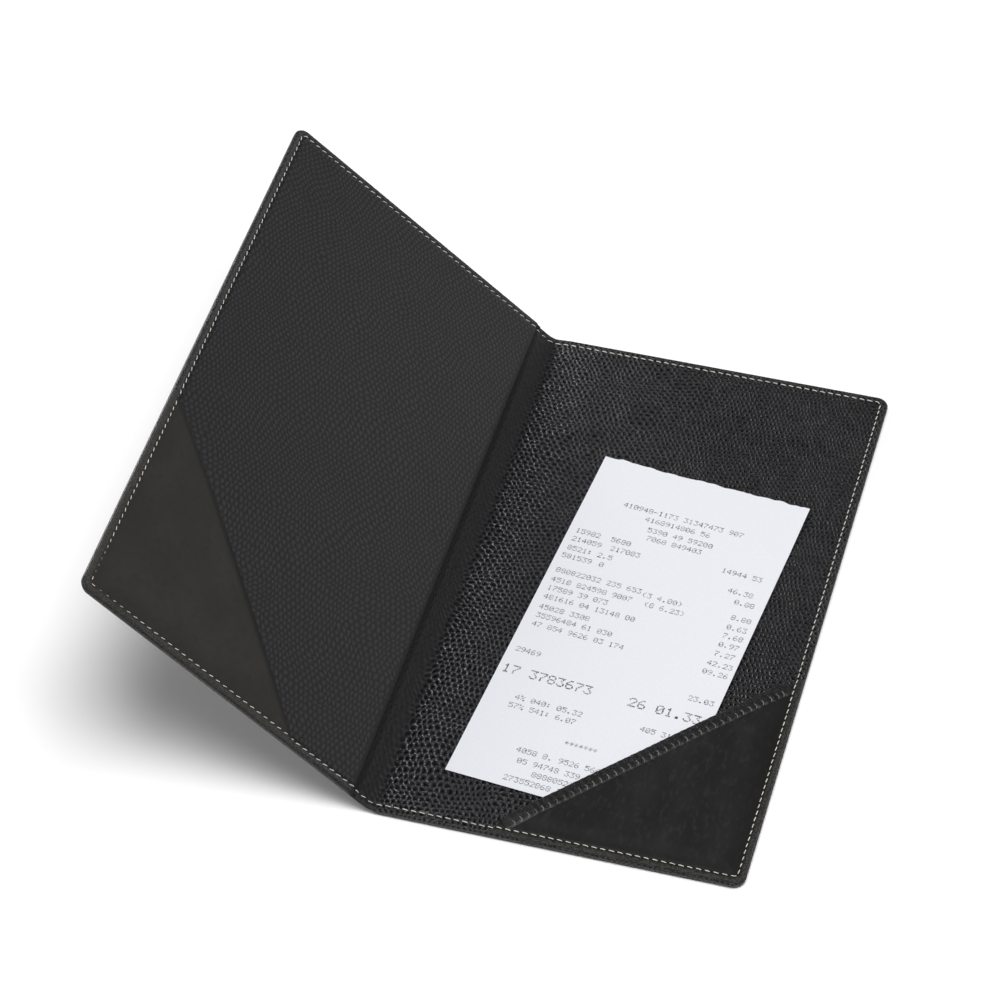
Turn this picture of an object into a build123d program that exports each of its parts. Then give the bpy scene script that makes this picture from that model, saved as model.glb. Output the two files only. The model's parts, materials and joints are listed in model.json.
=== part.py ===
from build123d import *
import os
from math import atan2, cos, degrees, hypot, pi, radians, sin

os.makedirs("parts", exist_ok=True)

# A folding guest check presenter: two stiffened covers joined by a soft spine, lined inside,
# lock-stitched all round, with a corner pocket in each cover and a slip in the back one.
# The back cover lies flat on z = 0 with +X towards its fore edge and +Y towards the head.
# The origin is the middle of the back cover's underside.  Lengths in mm, angles in degrees.

# covers
cover_length = 249.0
cover_width = 127.5
corner_radius = 4.5
least_radius = 0.2
height_tolerance = 1e-4
skin_thickness = 0.8
board_thickness = 1.0
lining_thickness = 0.7
board_setback = 4.5
lining_ramp = 1.2
skin_edge_radius = 0.5
lining_edge_radius = 0.3

# soft spine between the two fold lines, and how far each fold stands open at rest
spine_width = 8.0
back_fold_angle = 20.0
front_fold_angle = 20.0
fold_clearance = 0.25

# lock stitch
stitch_inset = 2.8
stitch_pitch = 3.1
stitch_length = 2.4
longest_stitch = 0.8
thread_width = 0.7
thread_proud = 0.15
thread_clearance = 0.03
core_width = 0.4
core_foot = 0.1
core_head = 0.45
channel_width = 1.0
channel_depth = 0.35
channel_ease = 1.2
run_clearance = 0.3

# corner pockets: reach along the tail edge and up the fore edge
back_pocket_foot = 91.0
back_pocket_rise = 99.0
front_pocket_foot = 95.0
front_pocket_rise = 100.0
pocket_thickness = 0.7
pocket_edge_inset = 0.3
sewn_margin = 4.2
front_pocket_lift = 0.5
front_hem_width = 8.0
front_hem_thickness = 0.35

# strip folded over the back pocket's hem, and the thread that overcasts it
binding_width = 3.2
binding_thickness = 0.3
binding_end_clearance = 0.3
overcast_pitch = 3.2
overcast_reach = 2.8
overcast_slant = 24.0
overcast_width = 0.5
overcast_height = 0.25

# paper slip tucked under the back pocket; its clearance is over the proud stitches it slides across
check_width = 80.0
check_length = 167.0
check_thickness = 0.1
check_turn = -5.4
check_centre_x = -0.5
check_centre_y = -21.3
check_clearance = 0.1
hem_clearance = 0.25

# worked out from the sizes above
panel_thickness = skin_thickness + board_thickness + lining_thickness
soft_thickness = skin_thickness + lining_thickness
board_top = skin_thickness + board_thickness
fold_height = skin_thickness / 2
half_length = cover_length / 2
fold_setback = fold_height + fold_clearance
lining_lip = fold_setback + lining_thickness
check_level = panel_thickness + thread_proud + check_clearance
back_pocket_lift = check_level + check_thickness + hem_clearance + binding_thickness - panel_thickness
spine_angle = back_fold_angle
front_angle = back_fold_angle + front_fold_angle
back_axis = Vector(-cover_width / 2, 0, fold_height)
front_axis = back_axis + spine_width * Vector(-cos(radians(spine_angle)), 0, sin(radians(spine_angle)))


# A cover is drawn in its own frame: X from its fold line to the fore edge, Y from tail to head,
# Z from its outside face to its lining.

def outline(inset, start=0.0, ease=0.0):
    """Cover outline drawn in by inset on three sides, square at the fold, its corners eased."""
    length = cover_length - 2 * inset
    width = cover_width - inset - start
    face = Pos(start + width / 2, 0) * Rectangle(width, length)
    corners = face.vertices().group_by(Axis.X)[-1]
    return fillet(corners, max(corner_radius - inset, least_radius) + ease)


def border(outer_inset, inner_inset, start=0.0, ease=0.0):
    """Band along head, fore edge and tail, between two insets."""
    return outline(outer_inset, start) - outline(inner_inset, start, ease)


def strip(low_x, high_x):
    """Cover-long rectangle between two distances from the fold."""
    return Pos((low_x + high_x) / 2, 0) * Rectangle(high_x - low_x, cover_length)


def slab(face, low, high):
    """Solid over a flat face between two heights."""
    return extrude(Pos(0, 0, low) * face, high - low)


def outer_edges(part, height):
    """Edges at one height on head, tail and fore edge, with their corner arcs."""
    def at_height(edge):
        box = edge.bounding_box()
        return max(abs(box.min.Z - height), abs(box.max.Z - height)) < height_tolerance

    def near_outline(edge):
        middle = edge.center()
        return max(middle.X - cover_width, abs(middle.Y) - half_length) > -corner_radius

    return part.edges().filter_by(at_height).filter_by(near_outline)


def stitch_band(width, start=0.0, ease=0.0):
    """Band of a given width centred on the stitch line."""
    return border(stitch_inset - width / 2, stitch_inset + width / 2, start, ease)


def stitch_channel(start=0.0):
    """Furrow that the stitches lie in, wider at the corners, which they cut across."""
    return stitch_band(channel_width, start, channel_ease)


# The stitch line, by distance walked from the fold at the tail round to the fold at the head.
bend_radius = max(corner_radius - stitch_inset, least_radius)
tail_run = cover_width - stitch_inset - bend_radius
fore_run = cover_length - 2 * (stitch_inset + bend_radius)
bend_run = bend_radius * pi / 2
stitch_run = 2 * tail_run + fore_run + 2 * bend_run


def on_stitch_line(walked):
    """Point at a distance walked along the stitch line."""
    low = half_length - stitch_inset
    if walked <= tail_run:
        return Vector(walked, -low)
    walked -= tail_run
    if walked <= bend_run:
        turn = walked / bend_radius
        return Vector(tail_run + bend_radius * sin(turn), -low + bend_radius * (1 - cos(turn)))
    walked -= bend_run
    if walked <= fore_run:
        return Vector(tail_run + bend_radius, -low + bend_radius + walked)
    walked -= fore_run
    if walked <= bend_run:
        turn = walked / bend_radius
        return Vector(tail_run + bend_radius * cos(turn), low - bend_radius * (1 - sin(turn)))
    return Vector(tail_run + bend_run - walked, low)


def stitch(length, floor, crest):
    """One stitch along X, drawn in at both ends towards its crest."""
    middle = (floor + crest) / 2
    shoulder = min(length / 4, abs(crest - floor))
    side = Polyline((-length / 2, floor), (length / 2, floor), (length / 2, middle),
                    (length / 2 - shoulder, crest), (shoulder - length / 2, crest),
                    (-length / 2, middle), close=True)
    return extrude(Plane.XZ * make_face(side), thread_width / 2, both=True)


def stitch_core(region, floor, crest):
    """Thin thread that joins the stitches low in the furrow."""
    low, high = sorted((floor + core_foot * (crest - floor), floor + core_head * (crest - floor)))
    return slab(region, low, high)


def thread_run(first, last, region, floor, crest):
    """Unbroken thread between two walked distances, with its stitches evenly spaced."""
    count = max(1, round((last - first) / stitch_pitch))
    step = (last - first) / count
    length = min(stitch_length, longest_stitch * step)
    bar = stitch(length, floor, crest)
    bars = []
    for index in range(count):
        middle = first + (index + 0.5) * step
        start = on_stitch_line(middle - length / 2)
        end = on_stitch_line(middle + length / 2)
        heading = degrees(atan2(end.Y - start.Y, end.X - start.X))
        centre = (start + end) / 2
        bars.append(Pos(centre.X, centre.Y) * Rot(0, 0, heading) * bar)
    return stitch_core(region, floor, crest) + bars


# pieces of a cover

def outer_skin():
    """Outer leatherette: a sheet turned up round the board's edges, rounded at the fold."""
    sheet = slab(outline(0), 0, skin_thickness)
    sheet += slab(border(0, skin_thickness, board_setback), skin_thickness, board_top)
    sheet = fillet(outer_edges(sheet, 0), skin_edge_radius)
    sheet += Pos(0, 0, fold_height) * Rot(90, 0, 0) * Cylinder(fold_height, cover_length)
    return sheet - slab(stitch_channel(fold_setback), 0, channel_depth)


def board():
    """Stiffener, set back from the fold and inside the turned edge."""
    return slab(outline(skin_thickness, board_setback), skin_thickness, board_top)


def lining(pocket):
    """Inner leatherette over the board, stepping down to the soft spine zone."""
    ramp_foot = board_setback - lining_ramp
    profile = Polyline((fold_setback, skin_thickness), (ramp_foot, skin_thickness),
                       (board_setback, board_top), (cover_width, board_top), (cover_width, panel_thickness),
                       (board_setback, panel_thickness), (ramp_foot, soft_thickness),
                       (lining_lip, soft_thickness), close=True)
    sheet = extrude(Plane.XZ * make_face(profile), half_length, both=True)
    sheet &= slab(outline(0), 0, panel_thickness)
    sheet = fillet(outer_edges(sheet, panel_thickness), lining_edge_radius)
    channel = stitch_channel()
    main = channel & strip(board_setback, cover_width) - pocket
    soft = channel & strip(lining_lip, ramp_foot)
    sheet -= slab(main, panel_thickness - channel_depth, panel_thickness)
    return sheet - slab(soft, soft_thickness - channel_depth, soft_thickness)


def outer_thread():
    """Thread on the outside face, flush with it."""
    first = fold_setback + run_clearance
    region = stitch_band(core_width, first)
    return thread_run(first, stitch_run - first, region, channel_depth - thread_clearance, 0)


def hem_crossings(foot, rise):
    """Distances walked to where the pocket's hem crosses the tail and the fore edge stitching."""
    tail = cover_width - foot * (1 - stitch_inset / rise)
    fore = tail_run + bend_run + rise * (1 - stitch_inset / foot) - stitch_inset - bend_radius
    return tail, fore


def inner_thread(foot, rise, lift):
    """Thread seen inside: on the soft zone, on the lining and over the pocket."""
    band = stitch_band(core_width)
    tail, fore = hem_crossings(foot, rise)
    ramp_foot = board_setback - lining_ramp
    main_level = panel_thickness
    pocket_level = panel_thickness + lift + pocket_thickness
    seat = thread_clearance - channel_depth
    first = board_setback + run_clearance
    soft_first = lining_lip + run_clearance / 2
    soft_last = ramp_foot - run_clearance / 2
    lead = 2 * run_clearance
    main = (band & strip(first, cover_width)) - pocket_face(foot, rise, -lead)
    tail_part = main.faces().sort_by(Axis.Y)[0]
    head_part = main.faces().sort_by(Axis.Y)[-1]
    covered = band & pocket_face(foot, rise, lead)
    pieces = [
        thread_run(first, tail - lead, tail_part, main_level + seat, main_level + thread_proud),
        thread_run(tail + lead, fore - lead, covered, pocket_level + seat, pocket_level + thread_proud),
        thread_run(fore + lead, stitch_run - first, head_part, main_level + seat, main_level + thread_proud),
    ]
    for face in (band & strip(soft_first, soft_last)).faces():
        walked = soft_first if face.center().Y < 0 else stitch_run - soft_last
        pieces.append(thread_run(walked, walked + soft_last - soft_first, face, soft_thickness + seat,
                                 soft_thickness + thread_proud))
    return Compound(children=[solid for piece in pieces for solid in piece.solids()])


# corner pockets

def pocket_face(foot, rise, trim, inset=0.0):
    """Corner of the outline beyond the hem line, which trim moves towards the corner."""
    run = hypot(foot, rise)
    start_x = cover_width - foot + trim * run / rise
    end_y = rise - half_length - trim * run / foot
    beyond = foot + rise
    slope_x = foot / rise * beyond
    corner = Polyline((start_x - slope_x, -half_length - beyond), (start_x + slope_x, -half_length + beyond),
                      (start_x + 3 * beyond, -half_length), close=True)
    return outline(inset) & make_face(corner)


def hem_frame(foot, rise, height):
    """Plane with X along the hem from the tail, Y across it away from the pocket."""
    return Plane(origin=(cover_width - foot, -half_length, height), x_dir=(foot, rise, 0), z_dir=(0, 0, 1))


def pocket(foot, rise, lift):
    """Pocket leather, raised over the lining and sewn down along tail and fore edge."""
    low = panel_thickness
    face = pocket_face(foot, rise, 0, pocket_edge_inset)
    rim = pocket_face(foot, rise, 0, pocket_edge_inset) - outline(sewn_margin)
    body = slab(face, low + lift, low + lift + pocket_thickness) + slab(rim, low, low + lift)
    channel = stitch_channel() & pocket_face(foot, rise, 0)
    top = low + lift + pocket_thickness
    return body - slab(channel, top - channel_depth, top)


def back_pocket():
    return pocket(back_pocket_foot, back_pocket_rise, back_pocket_lift)


def front_pocket():
    """Front pocket with its hem turned under."""
    low = panel_thickness + front_pocket_lift - front_hem_thickness
    foot, rise = front_pocket_foot, front_pocket_rise
    hem = pocket_face(foot, rise, 0, sewn_margin) - pocket_face(foot, rise, front_hem_width)
    return pocket(foot, rise, front_pocket_lift) + slab(hem, low, low + front_hem_thickness)


def pocket_binding():
    """Strip folded over the back pocket's hem edge, top and bottom."""
    foot, rise = back_pocket_foot, back_pocket_rise
    inset = sewn_margin + binding_end_clearance
    low = panel_thickness + back_pocket_lift
    band = (pocket_face(foot, rise, -binding_thickness) - pocket_face(foot, rise, binding_width))
    band &= outline(inset)
    core = pocket_face(foot, rise, 0)
    whole = slab(band, low - binding_thickness, low + pocket_thickness + binding_thickness)
    return whole - slab(core, low, low + pocket_thickness)


def overcast_thread():
    """Slanted stitches over the bound hem, each down its outer edge."""
    foot, rise = back_pocket_foot, back_pocket_rise
    run = hypot(foot, rise)
    inset = sewn_margin + binding_end_clearance
    top = panel_thickness + back_pocket_lift + pocket_thickness + binding_thickness
    drop = pocket_thickness + 2 * binding_thickness
    first = inset * run / rise + overcast_pitch
    last = run - inset * run / foot - overcast_pitch
    count = round((last - first) / overcast_pitch)
    middle = overcast_height / 2
    bar = Pos(0, -overcast_reach / 2, middle) * Box(overcast_width, overcast_reach, overcast_height)
    leg = Pos(0, middle, -drop / 2) * Box(overcast_width, overcast_height, drop)
    cap = Pos(0, 0, middle) * Box(overcast_width, 2 * overcast_height, overcast_height)
    loop = Rot(0, 0, overcast_slant) * bar + leg + cap
    frame = hem_frame(foot, rise, top)
    step = (last - first) / count
    loops = [frame * Pos(first + (index + 0.5) * step, binding_thickness) * loop for index in range(count)]
    return Compound(children=[solid for one in loops for solid in one.solids()])


# pieces of the spine, in a frame with X from the back fold to the front fold

def spine_outer_skin():
    sheet = slab(Pos(spine_width / 2, 0) * Rectangle(spine_width - 2 * fold_setback, cover_length),
                 0, skin_thickness)
    furrow = Box(spine_width, channel_width, channel_depth)
    for side in (-1, 1):
        sheet -= Pos(spine_width / 2, side * (half_length - stitch_inset), channel_depth / 2) * furrow
    return sheet


def spine_lining():
    """Lining of the spine, mitred so that it clears the covers' linings when closed."""
    profile = Polyline((fold_setback, skin_thickness), (spine_width - fold_setback, skin_thickness),
                       (spine_width - lining_lip, soft_thickness), (lining_lip, soft_thickness), close=True)
    sheet = extrude(Plane.XZ * make_face(profile), half_length, both=True)
    furrow = Box(spine_width, channel_width, channel_depth)
    level = soft_thickness - channel_depth / 2
    for side in (-1, 1):
        sheet -= Pos(spine_width / 2, side * (half_length - stitch_inset), level) * furrow
    return sheet


def spine_thread(start, floor, crest):
    """Stitches across the spine at head and tail."""
    run = spine_width - 2 * (start + run_clearance)
    count = max(1, round(run / stitch_pitch))
    step = run / count
    bar = stitch(min(stitch_length, longest_stitch * step), floor, crest)
    thread = stitch_core(Rectangle(run, core_width), floor, crest)
    thread += [Pos((index + 0.5) * step - run / 2, 0) * bar for index in range(count)]
    both = [Pos(spine_width / 2, side * (half_length - stitch_inset)) * thread for side in (-1, 1)]
    return Compound(children=[solid for piece in both for solid in piece.solids()])


def guest_check():
    """Paper slip lying on the back lining with its lower corner under the pocket."""
    slip = Pos(check_centre_x, check_centre_y, check_level + check_thickness / 2)
    return slip * Rot(0, 0, check_turn) * Box(check_width, check_length, check_thickness)


# placing

def on_back(part):
    return Pos(back_axis.X, 0, 0) * part


def folded(part, axis, angle):
    """Mirror a piece to run away from the back cover, and raise it about a fold line."""
    flat = Pos(0, 0, -fold_height) * mirror(part, about=Plane.YZ)
    return Pos(axis.X, axis.Y, axis.Z) * Rot(0, angle, 0) * flat


def on_spine(part):
    return folded(part, back_axis, spine_angle)


def on_front(part):
    return folded(part, front_axis, front_angle)


back_reach = pocket_face(back_pocket_foot, back_pocket_rise, 0)
front_reach = pocket_face(front_pocket_foot, front_pocket_rise, 0)
spine_seat = soft_thickness - channel_depth + thread_clearance

nodes = {
    "back_outer_skin": on_back(outer_skin()),
    "back_board": on_back(board()),
    "back_lining": on_back(lining(back_reach)),
    "back_corner_pocket": on_back(back_pocket()),
    "back_pocket_binding": on_back(pocket_binding()),
    "back_pocket_overcast_thread": on_back(overcast_thread()),
    "back_inner_thread": on_back(inner_thread(back_pocket_foot, back_pocket_rise, back_pocket_lift)),
    "back_outer_thread": on_back(outer_thread()),
    "spine_outer_skin": on_spine(spine_outer_skin()),
    "spine_lining": on_spine(spine_lining()),
    "spine_inner_thread": on_spine(spine_thread(lining_lip, spine_seat, soft_thickness + thread_proud)),
    "spine_outer_thread": on_spine(spine_thread(fold_setback, channel_depth - thread_clearance, 0)),
    "front_outer_skin": on_front(outer_skin()),
    "front_board": on_front(board()),
    "front_lining": on_front(lining(front_reach)),
    "front_corner_pocket": on_front(front_pocket()),
    "front_inner_thread": on_front(inner_thread(front_pocket_foot, front_pocket_rise, front_pocket_lift)),
    "front_outer_thread": on_front(outer_thread()),
    "guest_check": guest_check(),
}

for name, shape in nodes.items():
    export_step(shape, f"parts/{name}.step")
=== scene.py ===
import bmesh
import bpy
import json
import math
import numpy as np
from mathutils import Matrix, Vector


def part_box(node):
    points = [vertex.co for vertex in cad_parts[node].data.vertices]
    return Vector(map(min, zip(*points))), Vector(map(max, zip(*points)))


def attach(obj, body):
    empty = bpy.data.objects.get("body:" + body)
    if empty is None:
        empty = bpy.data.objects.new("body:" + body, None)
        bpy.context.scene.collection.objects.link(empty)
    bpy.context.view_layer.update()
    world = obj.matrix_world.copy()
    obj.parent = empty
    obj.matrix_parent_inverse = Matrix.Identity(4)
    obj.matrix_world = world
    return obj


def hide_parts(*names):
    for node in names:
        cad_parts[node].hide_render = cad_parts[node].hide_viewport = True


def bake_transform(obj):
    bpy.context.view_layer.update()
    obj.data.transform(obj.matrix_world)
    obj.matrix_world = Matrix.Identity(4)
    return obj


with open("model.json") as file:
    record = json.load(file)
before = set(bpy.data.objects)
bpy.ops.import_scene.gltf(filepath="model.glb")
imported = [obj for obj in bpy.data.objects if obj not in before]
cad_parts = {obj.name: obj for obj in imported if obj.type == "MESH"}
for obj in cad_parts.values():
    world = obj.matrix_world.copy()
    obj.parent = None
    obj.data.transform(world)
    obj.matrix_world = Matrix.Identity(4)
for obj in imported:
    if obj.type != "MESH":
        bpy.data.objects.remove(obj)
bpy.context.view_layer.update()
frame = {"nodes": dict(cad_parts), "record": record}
print("frame loaded")

mm = 0.001  # every shape below is worked out in millimetres and scaled by this when its mesh is made
square = np.array([(-1, -1), (1, -1), (1, 1), (-1, 1)])


def boxOf(node):
    # the lowest and highest corner of a CAD piece, in millimetres
    low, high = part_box(node)
    return np.array(low) / mm, np.array(high) / mm


joints = {joint["name"]: np.array(joint["pos_m"]) / mm for joint in frame["record"]["behaviour"]["joints"]
          if "pos_m" in joint}
boardLow, boardHigh = boxOf("back_board")
raisedLow, raisedHigh = boxOf("front_board")
skinHigh = boxOf("back_outer_skin")[1]
liningTop = boxOf("back_lining")[1][2]
skinThick = boardLow[2]
boardThick = boardHigh[2] - boardLow[2]
halfLength = skinHigh[1]

# how far the front cover is raised: its board's box is length cos + thickness sin by length sin +
# thickness cos
spanX, _, spanZ = raisedHigh - raisedLow
tilt = math.pi / 4
for _ in range(40):
    tilt = math.atan2(spanZ - boardThick * math.cos(tilt), spanX - boardThick * math.sin(tilt))

# the valley, where the lining faces of the two covers would meet, from the two fold joints
foldHeight = joints["back_fold"][2]
rise = liningTop - foldHeight
walked = (foldHeight - joints["front_fold"][2] + rise * (1 - math.cos(tilt))) / math.sin(tilt)
valleyX = joints["front_fold"][0] + rise * math.sin(tilt) - walked * math.cos(tilt)
foreReach = skinHigh[0] - valleyX
boardEdge = boardLow[0] - valleyX


def smooth(low, high, value):
    # smoothstep: 3t^2 - 2t^3 of the value's share of the way from low to high
    share = np.clip((value - low) / (high - low), 0, 1)
    return share * share * (3 - 2 * share)


def hump(value, centre, width):
    # bell curve of height 1: e to the minus squared distance over width
    return np.exp(-((value - centre) / width) ** 2)


def roundedOff(distance, radius):
    # how far a face falls away towards an edge that is rounded as a quarter circle
    inner = np.clip(radius - distance, 0, radius)
    return radius - np.sqrt(radius ** 2 - inner ** 2)


def scatter(row, column, salt):
    # a number from 0 to 1 for each pair of whole numbers: fraction of a large sine
    wave = np.sin(row * 127.1 + column * 311.7 + salt * 74.7) * 43758.5453
    return wave - np.floor(wave)


def drift(s, y, size, salt):
    # smooth noise from -1 to 1: scattered values on a square lattice, mixed by smoothstep
    u, v = s / size, y / size
    i, j = np.floor(u), np.floor(v)
    a, b = u - i, v - j
    a, b = a * a * (3 - 2 * a), b * b * (3 - 2 * b)
    low = scatter(i, j, salt) * (1 - a) + scatter(i + 1, j, salt) * a
    high = scatter(i, j + 1, salt) * (1 - a) + scatter(i + 1, j + 1, salt) * a
    return 2 * (low * (1 - b) + high * b) - 1


def gridFaces(rows, columns, first=0):
    # quads between neighbouring rows and columns of a grid of points
    index = first + np.arange(rows * columns).reshape(rows, columns)
    corners = [index[:-1, :-1], index[1:, :-1], index[1:, 1:], index[:-1, 1:]]
    return np.stack(corners, -1).reshape(-1, 4)


def ringFaces(first, second):
    # quads between two rows of points
    return np.stack([first[:-1], second[:-1], second[1:], first[1:]], -1).tolist()


def plateFaces(rows, columns):
    # a grid of points, a second one for the other face, and the rim between them
    index = np.arange(rows * columns).reshape(rows, columns)
    loop = np.concatenate([index[:, 0], index[-1, 1:], index[-2::-1, -1], index[0, -2::-1]])
    below = gridFaces(rows, columns, index.size)[:, ::-1]
    return gridFaces(rows, columns).tolist() + below.tolist() + ringFaces(loop, loop + index.size)


def tubeFaces(rows, columns):
    # quads round a tube: each row of points is a closed section
    index = np.arange(rows * columns).reshape(rows, columns)
    around = np.concatenate([index, index[:, :1]], 1)
    return np.stack([around[:-1, :-1], around[1:, :-1], around[1:, 1:], around[:-1, 1:]], -1).reshape(-1, 4)


def addObject(name, data):
    made = bpy.data.objects.new(name, data)
    bpy.context.scene.collection.objects.link(made)
    return made


sharpAngle = math.radians(72)  # faces that meet at more than this keep a hard edge


def makePiece(name, points, faces, material, attributes=(), mend=True):
    # points in millimetres, faces as point numbers, attributes as (name, a vector for each point)
    mesh = bpy.data.meshes.new(name)
    mesh.from_pydata((np.asarray(points) * mm).tolist(), [], faces)
    for label, values in attributes:
        layer = mesh.attributes.new(label, "FLOAT_VECTOR", "POINT")
        layer.data.foreach_set("vector", np.asarray(values, np.float32).ravel())
    if mend:
        work = bmesh.new()
        work.from_mesh(mesh)
        bmesh.ops.recalc_face_normals(work, faces=work.faces)
        work.to_mesh(mesh)
        work.free()
    mesh.polygons.foreach_set("use_smooth", np.ones(len(mesh.polygons), bool))
    mesh.set_sharp_from_angle(angle=sharpAngle)
    mesh.materials.append(material)
    return addObject(name, mesh)


# points are given by s from the valley (positive on the back cover), y from the middle, and h above the
# outer skin's lower face
sheet = {
    "cornerRadius": 4.5,
    "bendReach": 3.4,  # of the valley's bend, to both sides
    "stitchInset": 2.8,
    "spacing": 0.64,  # of the points that carry the emboss
    "soften": 0.8,  # radius of the lining's outer edge
    "liningThick": 0.45,
    "liningFurrow": 0.2,  # depth of the seam's furrow
    "swell": 0.05,  # slow unevenness of the lining
    "valley": (0.12, 0.6, 0.9),  # depth, place and width of the groove at the valley
    "spineDrop": 1.05,  # how far the lining sinks where no board lies under it
    "backStep": (0.6, 7.4),  # where the back board's rounded edge starts and ends
    "frontStep": 9.3,  # the front board's sharper edge
    "frontDrops": (0.55, 0.5),  # the lining's two steps there
}


def place(s, y, h):
    # flat back cover, an arc of the bend's reach about the valley, then the raised front cover
    reach = sheet["bendReach"]
    radius = reach / math.tan(tilt / 2) + liningTop
    turn = tilt * np.clip((reach - s) / (2 * reach), 0, 1)
    beyond = np.maximum(-s - reach, 0)
    x = valleyX + np.maximum(s, reach) - (radius - h) * np.sin(turn) - beyond * math.cos(tilt)
    z = radius - (radius - h) * np.cos(turn) + beyond * math.sin(tilt)
    return np.stack([x, y + 0 * x, z], -1)


def edgeDistance(s, y):
    # distance in from the outline, a rectangle with rounded corners that is open at the spine
    radius = sheet["cornerRadius"]
    across = np.abs(s) - (foreReach - radius)
    along = np.abs(y) - (halfLength - radius)
    flat = np.minimum(foreReach - np.abs(s), halfLength - np.abs(y))
    return np.where((across > 0) & (along > 0), radius - np.hypot(across, along), flat)


emboss = {
    "across": 2.35,  # between neighbouring scales of one row
    "along": 5.30,  # twice the distance between rows
    "oval": 0.68,  # how wide a scale is for its length
    "lean": 0.34,  # of the scales on the back cover, and on the front cover
    "frontLean": -0.42,
    "depth": 0.10,
    "smaller": 0.0021,  # the back cover's scales get smaller away from the spine
    "headward": 0.0008,  # and all of them towards the head
    "front": 1.12,  # how many times more there are on the front cover
    # how far the rows wander, and over what distance, from slow bends to single scales
    "wander": [(3.2, 33), (1.4, 12), (0.55, 4.3), (0.36, 2.4)],
}


def lattice(s, y):
    # a point's place on the lizard pattern: its own, moved by four layers of smooth noise
    p = np.where(s < 0, s * emboss["front"], s + emboss["smaller"] * s * np.minimum(s, 120)) + 0.10 * y
    q = y + emboss["headward"] * (y + halfLength) ** 2 - 0.12 * s
    for salt, (reach, size) in enumerate(emboss["wander"]):
        p = p + reach * drift(s, y, size, 2 * salt + 1)
        q = q + reach * drift(s, y, 1.15 * size, 2 * salt + 2)
    return p, q


def scaleRelief(s, y):
    # rows of scales, every other one shifted by half a step: a low dome on each, by distance from its middle,
    # which is the root of wide squared plus long squared plus lean times wide times long
    p, q = lattice(s, y)
    lean = np.where(s < 0, emboss["frontLean"], emboss["lean"])
    near = np.full(np.shape(s), 9.0)
    for shift in (0.0, 0.5):
        u, v = p / emboss["across"] + shift, q / emboss["along"] + shift
        wide = (u - np.floor(u) - 0.5) * emboss["across"]
        long = (v - np.floor(v) - 0.5) * emboss["along"] * emboss["oval"]
        near = np.minimum(near, np.sqrt(wide * wide + long * long + lean * wide * long))
    return -emboss["depth"] * smooth(0.35, 1.2, near)


def sunk(s):
    # how far the lining sinks between the boards, in steps at their edges
    u = -s
    start, end = sheet["backStep"]
    share = np.clip((end - s) / (end - start), 0, 1)
    back = sheet["spineDrop"] * (1 - np.sqrt(1 - 0.97 * share ** 2))
    atBoard, beyond = sheet["frontDrops"]
    front = atBoard * (1 - smooth(boardEdge - 1.1, boardEdge - 0.1, u))
    front = front + beyond * (1 - smooth(sheet["frontStep"] - 0.5, sheet["frontStep"] + 0.5, u))
    return front + (back - front) * smooth(-0.5, 0.6, s)


def wrinkles(s, y):
    # three crossing sets of slanting folds in the spine, bent and faded by smooth noise
    u = -s
    within = smooth(-0.5, 1.5, u) * (1 - smooth(boardEdge - 1.2, boardEdge + 0.2, u))
    lean = 0.55 + 0.25 * drift(s, y, 23, 11)
    folds = np.sin(2 * math.pi * (0.21 * y + lean * 0.3 * u) + 2.5 * drift(s, y, 14, 12))
    cross = np.sin(2 * math.pi * (0.27 * y - 0.24 * u) + 3.0 * drift(s, y, 17, 13))
    creases = np.sin(2 * math.pi * (0.34 * y + 0.36 * u) + 2.5 * drift(s, y, 8, 16))
    return within * (0.085 * folds + 0.07 * cross + 0.04 * creases) * (0.75 + 0.5 * drift(s, y, 9, 14))


def liningHeight(s, y):
    # the lining's smooth face, with board steps, wrinkles in the spine, the seam's furrow and a soft edge
    distance = edgeDistance(s, y)
    furrow = sheet["liningFurrow"] * hump(distance, sheet["stitchInset"], 0.6)
    edge = roundedOff(distance, sheet["soften"])
    swell = sheet["swell"] * drift(s, y, 46, 15) * smooth(3, 14, distance)
    depth, centre, width = sheet["valley"]
    return liningTop - sunk(s) - depth * hump(s, centre, width) + wrinkles(s, y) - furrow - edge + swell


def stations(low, high, spacing, lowFine):
    # evenly spaced values, closer together at the high end and, if asked, at the low one
    fine = np.array([0, 0.12, 0.3, 0.55, 0.9])
    start = low + fine if lowFine else np.array([low])
    end = high - fine[::-1]
    count = int(round((end[0] - start[-1]) / spacing))
    return np.concatenate([start[:-1], np.linspace(start[-1], end[0], count + 1), end[1:]])


def coverGrid(side, inset):
    # stations on one cover, with the corner squares of the grid pressed into quarter discs
    radius = sheet["cornerRadius"] - inset
    s = stations(0, foreReach - inset, sheet["spacing"], False)
    y = stations(inset - halfLength, halfLength - inset, sheet["spacing"], True)
    s, y = np.meshgrid(s, y, indexing="ij")
    a = np.clip((s - (foreReach - inset - radius)) / radius, 0, 1)
    b = np.clip((np.abs(y) - (halfLength - inset - radius)) / radius, 0, 1)
    s = s - radius * a + radius * a * np.sqrt(1 - b * b / 2)
    y = np.sign(y) * (np.abs(y) - radius * b + radius * b * np.sqrt(1 - a * a / 2))
    return side * s, y


def border(rows, columns):
    # point numbers along tail, fore edge and head of a grid whose first row is the spine
    index = np.arange(rows * columns).reshape(rows, columns)
    return np.concatenate([index[:-1, 0], index[-1, :], index[-2::-1, -1]])


def closing(columns, path):
    # long faces across the sheet that close it, the last with the points along the fore edge
    half = (len(path) - columns) // 2
    tail = path[:half]
    head = path[::-1][:half]
    fore = path[half:half + columns]
    faces = [[tail[k], tail[k + 1], head[k + 1], head[k]] for k in range(half - 1)]
    faces.append([tail[-1], *fore, head[-1]])
    return faces


firstStep = 0.8  # way round the soft edge to the first ring


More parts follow.
